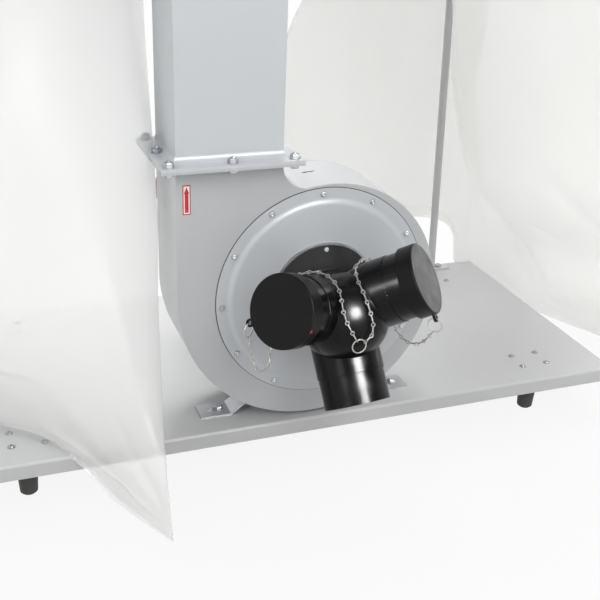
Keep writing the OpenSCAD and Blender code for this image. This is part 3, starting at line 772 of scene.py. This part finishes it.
bracket_sheet, strut_sheet = 3, 4
bracket_spots = [(x, 66, bracket_sheet) for x in (-147, 168)]
strut_spots = [(x, 511, strut_sheet) for x in (-492, 492)]
foot_x, foot_ys, screw_dx, screw_dy = 453, (72, 463), 25, 20
foot_spots = [(end * foot_x + a * screw_dx, y + b * screw_dy, 0) for end in (-1, 1) for y in foot_ys
              for a in (-1, 1) for b in (-1, 1)]
covered = (foot_x + screw_dx, foot_ys[1] + screw_dy)
foot_spots = [p for p in foot_spots if (abs(p[0]), p[1]) != covered]
washer_thick = 0.0008
small = together((washer(0.0062, 0.003, washer_thick), lifted(0)),
                 (pan_screw(0.0046, 0.0028), lifted(washer_thick)))
add("bracket_bolts", upright(bolt(thread), bracket_spots, lambda x: 0.4 + x), "zinc", smooth=False)
add("foot_screws", upright(small, foot_spots, lambda x: 0.7 * x), "zinc")
add("strut_bolts", upright(bolt(thread), strut_spots, lambda x: 0.5), "zinc", smooth=False)
print("plate fittings", len(bracket_spots) + len(foot_spots) + len(strut_spots))

# %% [markdown]
# Behind the housing, eight screws hold the motor's shield, four bolts its cradle, four screws
# the cowl and four the lid of the terminal box. All their places follow from the boxes of the
# parts they hold.

# %% Motor fittings
shield_low, shield_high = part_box("motor_shield")
cradle_low, cradle_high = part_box("motor_cradle")
cowl_low, cowl_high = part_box("motor_cowl")
box_low, box_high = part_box("terminal_box")
shaft = (shield_low + shield_high) / 2
shield_circle, shield_step = 0.0895, 0.010
cradle_sheet, cradle_inset = 0.004, 0.022
cowl_lap, head_sunk, lid_inset = 0.008, 0.0003, 0.009
cowl_r = (cowl_high.x - cowl_low.x) / 2
shield_places = bolt_circle(shaft, shield_low.y + shield_step, shield_circle, 8, 22.5, (0, 1, 0), 0.6)
add("shield_bolts", copies(bolt(0.006), shield_places), "zinc", smooth=False)
cradle_spots = corners(cradle_low, cradle_high, cradle_inset, cradle_low.z + cradle_sheet)
add("cradle_bolts", copies(bolt(thread), [facing(p, (0, 0, 1), 9 * p.x) for p in cradle_spots]), "zinc",
    smooth=False)
places = []
for i in range(4):
    a = math.radians(45 + 90 * i)
    outward = Vector((math.cos(a), 0, math.sin(a)))
    rim = Vector((shaft.x, cowl_low.y + cowl_lap, shaft.z)) + outward * (cowl_r - head_sunk)
    places.append(facing(rim, outward, i))
places += [facing(p, (0, 0, 1), 7 * p.y) for p in corners(box_low, box_high, lid_inset, box_high.z)]
add("cowl_screws", copies(pan_screw(0.0036, 0.0024), places), "zinc")
print("motor fittings", len(shield_places) + len(cradle_spots) + len(places))

# %% [markdown]
# A collecting bag is a tube of film with a welded end. It hangs from a round drum and runs out
# flat at the weld, so it is lofted: closed curves, one above the other, change from a circle to
# a flat line. Splines through the curves, both ways, give a smooth skin of points.

# %% Splines


def spline(points, count, closed=False):
    """count points on a smooth curve through the given ones, evenly spaced in the parameter."""
    p = np.asarray(points, float)
    n = len(p)
    t = np.linspace(0, n if closed else n - 1, count, endpoint=not closed)
    i = np.minimum(t.astype(int), n - 1 if closed else n - 2)
    u = (t - i).reshape((-1,) + (1,) * (p.ndim - 1))
    pick = (lambda k: p[k % n]) if closed else (lambda k: p[np.clip(k, 0, n - 1)])
    a, b, c, d = pick(i - 1), pick(i), pick(i + 1), pick(i + 2)
    return b + 0.5 * u * (c - a + u * (2 * a - 5 * b + 4 * c - d + u * (3 * (b - c) + d - a)))


def even(points, count):
    """count points at equal steps of length on the polyline."""
    p = np.asarray(points, float)
    s = np.concatenate([[0], np.cumsum(np.linalg.norm(np.diff(p, axis=0), axis=1))])
    at = np.linspace(0, s[-1], count)
    return np.stack([np.interp(at, s, p[:, k]) for k in range(3)], axis=1)


bow = spline([(0, 0, 0), (1, 1, 0), (2, 0, 0)], 9)
print("a bow through three points, at even steps", even(bow, 4).round(2).tolist())

# %% [markdown]
# A tube keeps its length round, so a curve that gets wider also gets thinner. Each curve is
# a lens round a line across the bag: a circle when the line is as long as the drum is wide, and
# nearly flat at the weld. The depth that fits a width is found by halving an interval.

# %% Rings of a tube
tube_round = 1571.0


def lens(line, half, count=24, fine=60):
    """A closed curve of count points round a line: out along its front and back along its rear.
    half is the half depth in the middle; the depth is nothing at both ends."""
    line = even(spline(line, fine), fine)
    a = np.linspace(0, 2 * np.pi, count, endpoint=False)
    s = (1 - np.cos(a)) / 2 * (len(line) - 1)
    i = np.minimum(s.astype(int), len(line) - 2)
    u = (s - i)[:, None]
    middle = line[i] * (1 - u) + line[i + 1] * u
    along = line[-1] - line[0]
    normal = np.array([along[1], -along[0], 0]) / math.hypot(along[0], along[1])
    return middle - np.sin(a)[:, None] * half * normal


def half_depth(width):
    """Half the depth of an ellipse that wide whose length round is the tube's."""
    low, high = 0.0, 300.0
    for _ in range(40):
        b = (low + high) / 2
        a = width / 2
        length = math.pi * (3 * (a + b) - math.sqrt((3 * a + b) * (a + 3 * b)))
        low, high = (b, high) if length < tube_round else (low, b)
    return low


print("half depth of a lens 700 wide", round(half_depth(700), 1))

# %% [markdown]
# Film that hangs has four kinds of fold. Pleats start where the band grips it and fade out
# downward. Long soft creases run from a corner that pulls. The whole skin billows a little, and
# where it is slack near its lower end it is crumpled, with sharp valleys between smooth facets:
# the absolute value of a noise has just that shape. All push the points along the normal.

# %% Folds


def normals(grid):
    """Unit normals of a grid of points, the rows going down and the columns round."""
    across = np.roll(grid, -1, axis=1) - np.roll(grid, 1, axis=1)
    down = np.gradient(grid, axis=0)
    n = np.cross(across, down)
    return n / np.maximum(np.linalg.norm(n, axis=2, keepdims=True), 1e-9)


def billow(grid, size, stretch, seed):
    """Soft swells from about -1 to 1, for features of that size in mm."""
    out = np.empty(grid.shape[:2])
    for j in range(grid.shape[0]):
        for i in range(grid.shape[1]):
            x, y, z = grid[j, i] * stretch / size
            out[j, i] = noise.noise((x + seed, y - seed, z))
    return out


def crumple(grid, size, stretch, seed):
    """Facets with sharp valleys, from 0 up to about 1."""
    return np.abs(billow(grid, size, stretch, seed))


def crease(grid, start, end, width):
    """1 on the line from start to end, falling off over the width and towards both ends."""
    a, b = np.asarray(start, float), np.asarray(end, float)
    d = b - a
    t = ((grid - a) @ d) / (d @ d)
    near = a + np.clip(t, 0, 1)[..., None] * d
    away = np.linalg.norm(grid - near, axis=2)
    fade = np.clip(np.minimum(t + 0.15, 1.15 - t) / 0.35, 0, 1)
    return np.exp(-(away / width) ** 2) * fade


print("folds ready")

# %% [markdown]
# Folds push points about, so a few would end inside the plate or the floor. Each of those goes
# to the nearest free place: in front of the plate's edge, beside its end, or on top.

# %% Clear of the plate
film_gap, edge_zone, plate_fold, skin_deep = 3, 25, 60, 2


def clear_of_plate(grid):
    """Moves what would be inside the plate or the floor to the nearest free place."""
    x, y, z = grid[..., 0], grid[..., 1], grid[..., 2]
    end, back = plate_half + film_gap, plate_deep + film_gap
    over = (np.abs(x) < end) & (y > -film_gap) & (y < back) & (z < film_gap) & (z > -plate_fold)
    front = over & (y < edge_zone) & (z < -skin_deep)
    beside = over & ~front & (end - np.abs(x) < edge_zone) & (z < -skin_deep)
    y[front] = -film_gap
    x[beside] = np.sign(x[beside]) * end
    z[over & ~front & ~beside] = film_gap
    floor_z = film_gap - plate_top * 1000
    z[z < floor_z] = floor_z
    return grid


print("plate's free edge at", plate_half + film_gap, "and", plate_deep + film_gap)

# %% [markdown]
# The left bag is round at the drum and turns flat towards a weld that runs across the plate
# from the rear left to the front right. Its front corner hangs over the plate's front edge and
# nearly reaches the floor, and its rear corner slides off the left end.

# %% Left bag
drum_low, drum_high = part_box("drum_left")
left_x = (drum_low.x + drum_high.x) * 500
drum_y = ((drum_low.y + drum_high.y) / 2 - plate_front) * 1000
mouth_z = (drum_low.z - plate_top) * 1000
tucked, freed, gripped_r, slack_r = 44, 4, 250.6, 251.5
film_rows = 190


def ring(z, r, x, y, degrees):
    """A round or slightly flattened ring of the tube, its long way across at that angle."""
    a = math.radians(degrees)
    line = [(x + r * math.cos(a) * k, y + r * math.sin(a) * k, z) for k in (1, 0, -1)]
    return lens(line, half_depth(2 * r))


weld_left = [(-271, -128, -92), (-310, -62, -86), (-350, -16, -62), (-398, -3, 4), (-427, 60, 4),
             (-478, 112, 4), (-586, 214, 4), (-602, 236, -40), (-690, 310, -88), (-780, 372, -92)]
low_left = [(-272, -111, 10), (-340, -40, 20), (-415, 40, 30), (-520, 130, 34), (-610, 225, 26),
            (-740, 345, -20)]
rows = [
    ring(mouth_z + tucked, gripped_r, left_x, drum_y, -36),
    ring(mouth_z - freed, gripped_r, left_x, drum_y, -36),
    ring(mouth_z - 60, slack_r, left_x, drum_y, -36),
    ring(640, 249, -467, 258, -37),
    ring(430, 284, -485, 232, -40),
    ring(240, 319, -508, 203, -43),
    lens([(-271, -60, 105), (-510, 173, 110), (-748, 406, 100)], half_depth(690) * 0.75),
    lens(low_left, 26),
    lens(weld_left, 1.2),
]
grid = spline([spline(row, 300, closed=True) for row in rows], film_rows)
print("left bag grid", grid.shape)

# %% [markdown]
# Both film bags get their folds from one function. Heights are in millimetres: the pleats are
# strongest in ten places round the mouth, the swells come in two sizes, and a small bead runs
# along the last rows, where the weld has pulled the film together.

# %% Folds of a film bag
pleat_high, pleat_fade, pleat_count = 4.0, 0.09, 34
swell_high, small_swell_high, crumple_high, bead_high = 7.0, 2.5, 3.0, 1.6
crumple_below, crease_share = 260, 0.75


def film_folds(grid, creases, seed):
    """Pleats under the mouth, swells, crumple near the floor, the given creases and the bead."""
    n = normals(grid)
    fall = mouth_z - grid[..., 2]
    angle = np.linspace(0, 2 * np.pi, grid.shape[1], endpoint=False)[None, :]
    wave = np.sin(pleat_count * angle + 3 * np.sin(3 * angle + seed)) * np.sin(5 * angle + seed) ** 2
    pleats = pleat_high * wave * np.exp(-np.clip(fall / 1000, 0, 1) / pleat_fade)
    push = pleats * np.clip(fall / 25, 0, 1)
    swells = (swell_high * billow(grid, 260, (1, 1, 0.45), seed)
              + small_swell_high * billow(grid, 110, (1, 1, 0.6), seed + 7))
    push += np.clip(fall / 120, 0, 1) * swells
    low = np.clip((crumple_below - grid[..., 2]) / crumple_below, 0, 1)
    push += low * (crumple_high * crumple(grid, 70, (1, 1, 0.8), seed + 3) - 1.0)
    for start, end, width, height in creases:
        push += crease_share * height * crease(grid, start, end, width)
    row = np.arange(grid.shape[0])[:, None]
    push += bead_high * np.exp(-((row - grid.shape[0] + 5) / 1.2) ** 2)
    return grid + n * push[..., None]


def skin(name, grid, slot):
    """The grid in plate millimetres as a piece, round in its columns."""
    return add(name, ([on_plate(*p) for p in grid.reshape(-1, 3)], quads(*grid.shape[:2])), slot)


def area_of(piece):
    return sum(p.area for p in piece.data.polygons)


print("fold maker ready")

# %% [markdown]
# Most of the left bag's creases start near its front corner, which pulls, and fan out upwards.
# Each is given by its two ends, its width and its height, and a hollow has a height below 0; a
# ridge with a hollow close by makes a sharp fold.

# %% Left bag's folds
left_creases = [
    ((-268, -120, -70), (-420, 40, 230), 14, 9), ((-275, -118, -60), (-370, -20, 180), 9, -7),
    ((-300, -90, -60), (-520, 60, 330), 20, 8), ((-270, -110, -50), (-330, -30, 330), 12, 6),
    ((-400, 0, 10), (-470, 60, 190), 16, 7), ((-430, 60, 10), (-420, 20, 150), 12, -6),
    ((-350, -20, -40), (-380, -10, 90), 9, 6), ((-320, -60, -70), (-350, -30, 60), 8, -5),
    ((-560, 30, 500), (-500, -10, 620), 30, 8), ((-640, 100, 330), (-560, 40, 430), 24, 7),
    ((-410, 0, 40), (-288, -92, -66), 6, 9), ((-402, -6, 24), (-284, -98, -74), 5, -6),
    ((-700, 150, 205), (-430, -40, 150), 12, 7), ((-700, 150, 190), (-430, -40, 138), 9, -6),
]
grid = clear_of_plate(film_folds(grid, left_creases, seed=2.0))
bag_left = skin("film_bag_left", grid, "bag_film")
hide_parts("bag_left")
print("left bag", len(bag_left.data.polygons), "faces", round(area_of(bag_left), 2), "square metres")

# %% [markdown]
# The right bag has been swept to the right and back. Its front pulls into one long pleat under
# the blower's strut, its body goes past the plate's right end to the floor, and a flap of it
# has blown round the strut and hangs behind the blower. Each curve round it is given by twelve
# points that start at the pleat and go round by the front.

# %% Right bag
drum_low, drum_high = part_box("drum_right")
right_x = (drum_low.x + drum_high.x) * 500
angles = [200, 232, 272, 318, 0, 34, 60, 76, 88, 98, 118, 158]


def drum_ring(z, r):
    return [(right_x + r * math.cos(math.radians(a)), drum_y + r * math.sin(math.radians(a)), z)
            for a in angles]


def level(z, spots):
    """Points at the height z, or at their own height where they give one."""
    return [(p[0], p[1], p[2] if len(p) > 2 else z) for p in spots]


rows = [
    drum_ring(mouth_z + tucked, gripped_r),
    drum_ring(mouth_z - freed, gripped_r),
    drum_ring(mouth_z - 50, slack_r),
    level(640, [(312, 236), (372, 110), (505, 45), (672, 96), (728, 270), (676, 430),
                (565, 535), (420, 610), (240, 636), (390, 585), (520, 500), (420, 400)]),
    level(430, [(377, 300), (450, 165), (600, 85), (752, 110), (790, 270), (745, 440),
                (620, 575), (410, 655), (150, 668), (390, 615), (530, 515), (468, 412)]),
    level(256, [(447, 300), (525, 185), (650, 105), (782, 130), (808, 280), (770, 450),
                (622, 598), (430, 656), (150, 668), (400, 625), (560, 545), (515, 420)]),
    level(150, [(546, 300), (598, 212), (690, 140), (796, 160), (814, 290), (780, 450), (606, 596, 118),
                (506, 646, 124), (150, 662, 112), (490, 636, 122), (584, 566, 118), (570, 450)]),
    level(40, [(602, 300), (640, 225), (715, 170), (800, 190), (818, 300), (785, 440), (602, 590, 10),
               (546, 642, 94), (150, 658, 98), (536, 637, 94), (592, 578, 10), (612, 455)]),
    level(-93, [(722, 392), (760, 300), (798, 215), (800, 215), (764, 302), (726, 396), (600, 586, -60),
                (555, 638, 66), (150, 655, 90), (548, 636, 67), (597, 583, -60), (690, 470)]),
]
grid = spline([spline(row, 340, closed=True) for row in rows], film_rows)
print("right bag grid", grid.shape)

# %% [markdown]
# The right bag's creases follow the long pleat down from the drum, and three cross its belly.
# Its film's colour is whiter and warmer than the left bag's; the extra whiteness is painted
# light, for the light that comes through the film from behind.

# %% Right bag's folds
right_creases = [
    ((240, 200, 840), (377, 300, 427), 12, 8), ((250, 200, 840), (392, 285, 400), 8, -6),
    ((377, 300, 427), (546, 300, 153), 11, 8), ((392, 296, 420), (560, 290, 150), 8, -6),
    ((546, 300, 153), (640, 240, 20), 12, 7), ((520, 230, 200), (800, 180, 120), 10, 6),
    ((560, 130, 500), (700, 100, 470), 16, 7), ((470, 170, 330), (640, 120, 180), 18, 6),
]
grid = clear_of_plate(film_folds(grid, right_creases, seed=9.0))
bag_right = skin("film_bag_right", grid, "bag_film")
# the right bag's lighter film colour is painted light, for light shining through it from behind
bag_right.data.materials[0] = film("bag film with painted backlight", Colour=(0.93, 0.925, 0.9, 1))
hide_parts("bag_right")
print("right bag", len(bag_right.data.polygons), "faces", round(area_of(bag_right), 2), "square metres")

# %% [markdown]
# Each film bag's flat size is its length round by its height. The right bag has more film
# round it than its drum needs, and its flap takes that up.

# %% Film bags
print("two film bags")

# %% [markdown]
# A filter bag is a sewn tube of felt, closed at the top and hung from a hook, with a hem that
# the band grips. Felt is stiff enough to stand out in long soft flutes. It is a turned profile
# whose radius also changes round the bag, with a sewn seam down one side and a stitched hem.

# %% Felt skin
felt_rows, felt_columns = 150, 220
flute, sway, belly, slack = 0.0042, 0.007, 0.006, 0.004
seam_high, seam_at, seam_wide = 0.0022, 4.9, 0.012
hem_high, hem_at, hem_wide = 0.0018, 0.024, 0.003
crown_from, crown_drop, free_over = 0.893, 0.012, 0.08


def felt_skin(cx, cy, r, bottom, mouth, top):
    """The bag's grid of points. mouth is where the drum ends and the cloth hangs free."""
    grid = np.empty((felt_rows, felt_columns, 3))
    for j in range(felt_rows):
        t = j / (felt_rows - 1)
        z = bottom + (top - bottom - 0.01) * min(1.0, t * 1.12)
        crown = max(0.0, (t - crown_from) / (1 - crown_from))
        rise = np.clip((z - mouth) / (top - mouth), 0, 1)
        girth = r - slack + belly * math.sin(math.pi * rise)
        radius = girth * math.sqrt(max(1 - crown ** 2, 0.0002))
        z += crown_drop * math.sin(crown * math.pi / 2) - crown_drop
        free = np.clip((z - mouth) / free_over, 0, 1)
        hem = hem_high * math.exp(-((z - mouth - hem_at) / hem_wide) ** 2)
        for i in range(felt_columns):
            a = 2 * math.pi * i / felt_columns
            wave = 0.55 * math.sin(9 * a + 2.1 * math.sin(2 * a)) + 0.45 * math.sin(14 * a + 5 * rise)
            chance = noise.noise((2.2 * math.cos(a) + cx * 9, 2.2 * math.sin(a), 3.2 * rise))
            fluted = flute * wave * (0.5 + 0.5 * math.cos(math.pi * rise)) + sway * chance
            seam = seam_high * math.exp(-((a - seam_at) / seam_wide) ** 2)
            rr = min(radius + free * fluted * (1 - crown) + seam + hem, r + slack)
            grid[j, i] = (cx + rr * math.cos(a), cy + rr * math.sin(a), z)
    return grid


print("felt grid", felt_rows, "by", felt_columns)

# %% [markdown]
# A strap on top goes over the hanger's rod and back. It is a narrow ribbon along an arch: two
# short slopes and a half circle round the rod. Skin, top and strap together are one piece, which
# replaces the CAD's closed solid.

# %% Filter bags
strap_r, strap_edges = 0.0078, (0.008, 0.034)
flute_room, drum_lap, rod_r = 0.006, 0.002, 0.006


def strap(cx, cy, top, rod):
    """A ribbon from the bag's top over the rod at that height."""
    slope = [(-0.011, top - 0.012), (-0.0085, top + 0.002), (-strap_r, rod)]
    turns = [math.pi * k / 8 for k in range(1, 8)]
    over = [(-strap_r * math.cos(a), rod + strap_r * math.sin(a)) for a in turns]
    arch = slope + over + [(-x, z) for x, z in slope[::-1]]
    points = [Vector((cx + x, cy + y, z)) for x, z in arch for y in strap_edges]
    return points, [(2 * k, 2 * k + 1, 2 * k + 3, 2 * k + 2) for k in range(len(arch) - 1)]


def felt_bag(name, node, drum, hanger):
    low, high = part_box(node)
    base_low, base_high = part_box(drum)
    cx, cy = (base_low.x + base_high.x) / 2, (base_low.y + base_high.y) / 2
    grid = felt_skin(cx, cy, (high.x - low.x) / 2 - flute_room, low.z, base_high.z + drum_lap, high.z)
    points = [Vector(p) for p in grid.reshape(-1, 3)] + [Vector((cx, cy, grid[-1, :, 2].mean()))]
    last, tip = (felt_rows - 1) * felt_columns, len(points) - 1
    faces = quads(felt_rows, felt_columns)
    faces += [(last + i, last + (i + 1) % felt_columns, tip) for i in range(felt_columns)]
    ribbon = strap(cx, cy, high.z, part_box(hanger)[1].z - rod_r)
    piece = add(name, together(((points, faces), lifted(0)), (ribbon, lifted(0))), "filter_cloth")
    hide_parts(node)
    print(name, len(piece.data.polygons), "faces", round(area_of(piece), 2), "square metres")


felt_bag("filter_bag_left", "filter_left", "drum_left", "hanger_left")
felt_bag("filter_bag_right", "filter_right", "drum_right", "hanger_right")

# %% [markdown]
# A small label on the housing shows which way the fan turns. It is a plastic sheet with rounded
# corners, a red frame and a red arrow, and no words. The white panel and the arrow are thin
# raised layers on a red sheet, made from flat outlines.

# %% Turning arrow


def plate_shape(outline, t):
    """A flat outline of (x, z) pairs as a prism that is t thick towards -Y."""
    n = len(outline)
    points = [Vector((x, y, z)) for y in (0, -t) for x, z in outline]
    faces = [tuple(range(n)), tuple(range(2 * n - 1, n - 1, -1))]
    faces += [(i, n + i, n + (i + 1) % n, (i + 1) % n) for i in range(n)]
    return points, faces


def rounded(w, h, r, steps=5):
    """A rectangle of half width w and half height h whose corners have the radius r."""
    outline = []
    for x, z, start in ((w - r, h - r, 0), (r - w, h - r, 90), (r - w, r - h, 180), (w - r, r - h, 270)):
        for k in range(steps + 1):
            a = math.radians(start + 90 * k / steps)
            outline.append((x + r * math.cos(a), z + r * math.sin(a)))
    return outline


label_at = on_plate(-207.5, 16, 386)
label_white = moulding("label white", (0.78, 0.76, 0.75), 0.3, (0.02, 0.0001))
arrow_half = [(0.0027, -0.0188), (0.0027, 0.0095), (0.0039, 0.0095)]
arrow = arrow_half + [(0, 0.0192)] + [(-x, z) for x, z in arrow_half[::-1]]
for name, outline, thick, look in (
        ("label_sheet", rounded(0.0058, 0.0222, 0.001), 0.00025, None),
        ("label_panel", rounded(0.0044, 0.0206, 0.0006), 0.00035, label_white),
        ("label_arrow", arrow, 0.00045, None)):
    add(name, copies(plate_shape(outline, thick), [Matrix.Translation(label_at)]), "red_plastic", look,
        smooth=False)
print("label at", [round(c, 3) for c in label_at])

# %% [markdown]
# A small red dot on the left cap's edge is a painted reflection: it draws a red glint that the
# cap's edge shows. The port leans out from the fan's axis, so the dot's place is found on a
# circle round that lean.

# %% Red dot, a painted reflection
port_turn, port_tilt, dot_turn = math.radians(158.5), math.radians(58), math.radians(165)
cap_r, dot_back, dot_r, hub_y = 0.0539, 0.0055, 0.0026, -45
hub = on_plate(fan_x, hub_y, fan_z)
lean = Vector((math.sin(port_tilt) * math.cos(port_turn), -math.cos(port_tilt),
               math.sin(port_tilt) * math.sin(port_turn)))
level_way = lean.cross(Vector((0, 0, 1))).normalized()
cap = part["cap_left"]
cap_face = max((cap.matrix_world @ v.co - hub).dot(lean) for v in cap.data.vertices)
outward = Matrix.Rotation(dot_turn, 3, lean) @ level_way
dot_at = hub + lean * (cap_face - dot_back) + outward * cap_r
# the red dot is a painted reflection on the cap's edge
add("cap_red_reflection", copies(spun([(dot_r, 0), (dot_r, 0.0003), (0.002, 0.0007)], 24), [facing(dot_at, outward)]),
    "cap_plastic", finishes["red_plastic"])
print("dot leans", [round(c, 2) for c in lean])

# %% [markdown]
# The strip that closes the housing is tucked through a slot in its top, where it meets the
# outlet. The slot shows as a short dark line of shade, and that shade is painted: a flat dark
# lens is laid into the strip.

# %% Slot, its shade painted
slot_lean = Matrix.Rotation(math.radians(-4), 4, "Y")
slot_size = Matrix.Diagonal((8.5, 2.0, 0.6, 1))
slot_place = Matrix.Translation(on_plate(2.5, 84, 391.9)) @ slot_lean @ slot_size
slot_shade_lens = spun([(0.0001, -0.0004), (0.0013, 0.0), (0.0001, 0.0004)], 16)
# the dark lens is painted shade, standing in for the shade inside the slot
add("wrapper_slot_shade", copies(slot_shade_lens, [slot_place]), "housing_paint", finishes["dark_plastic"])
print("slot placed")
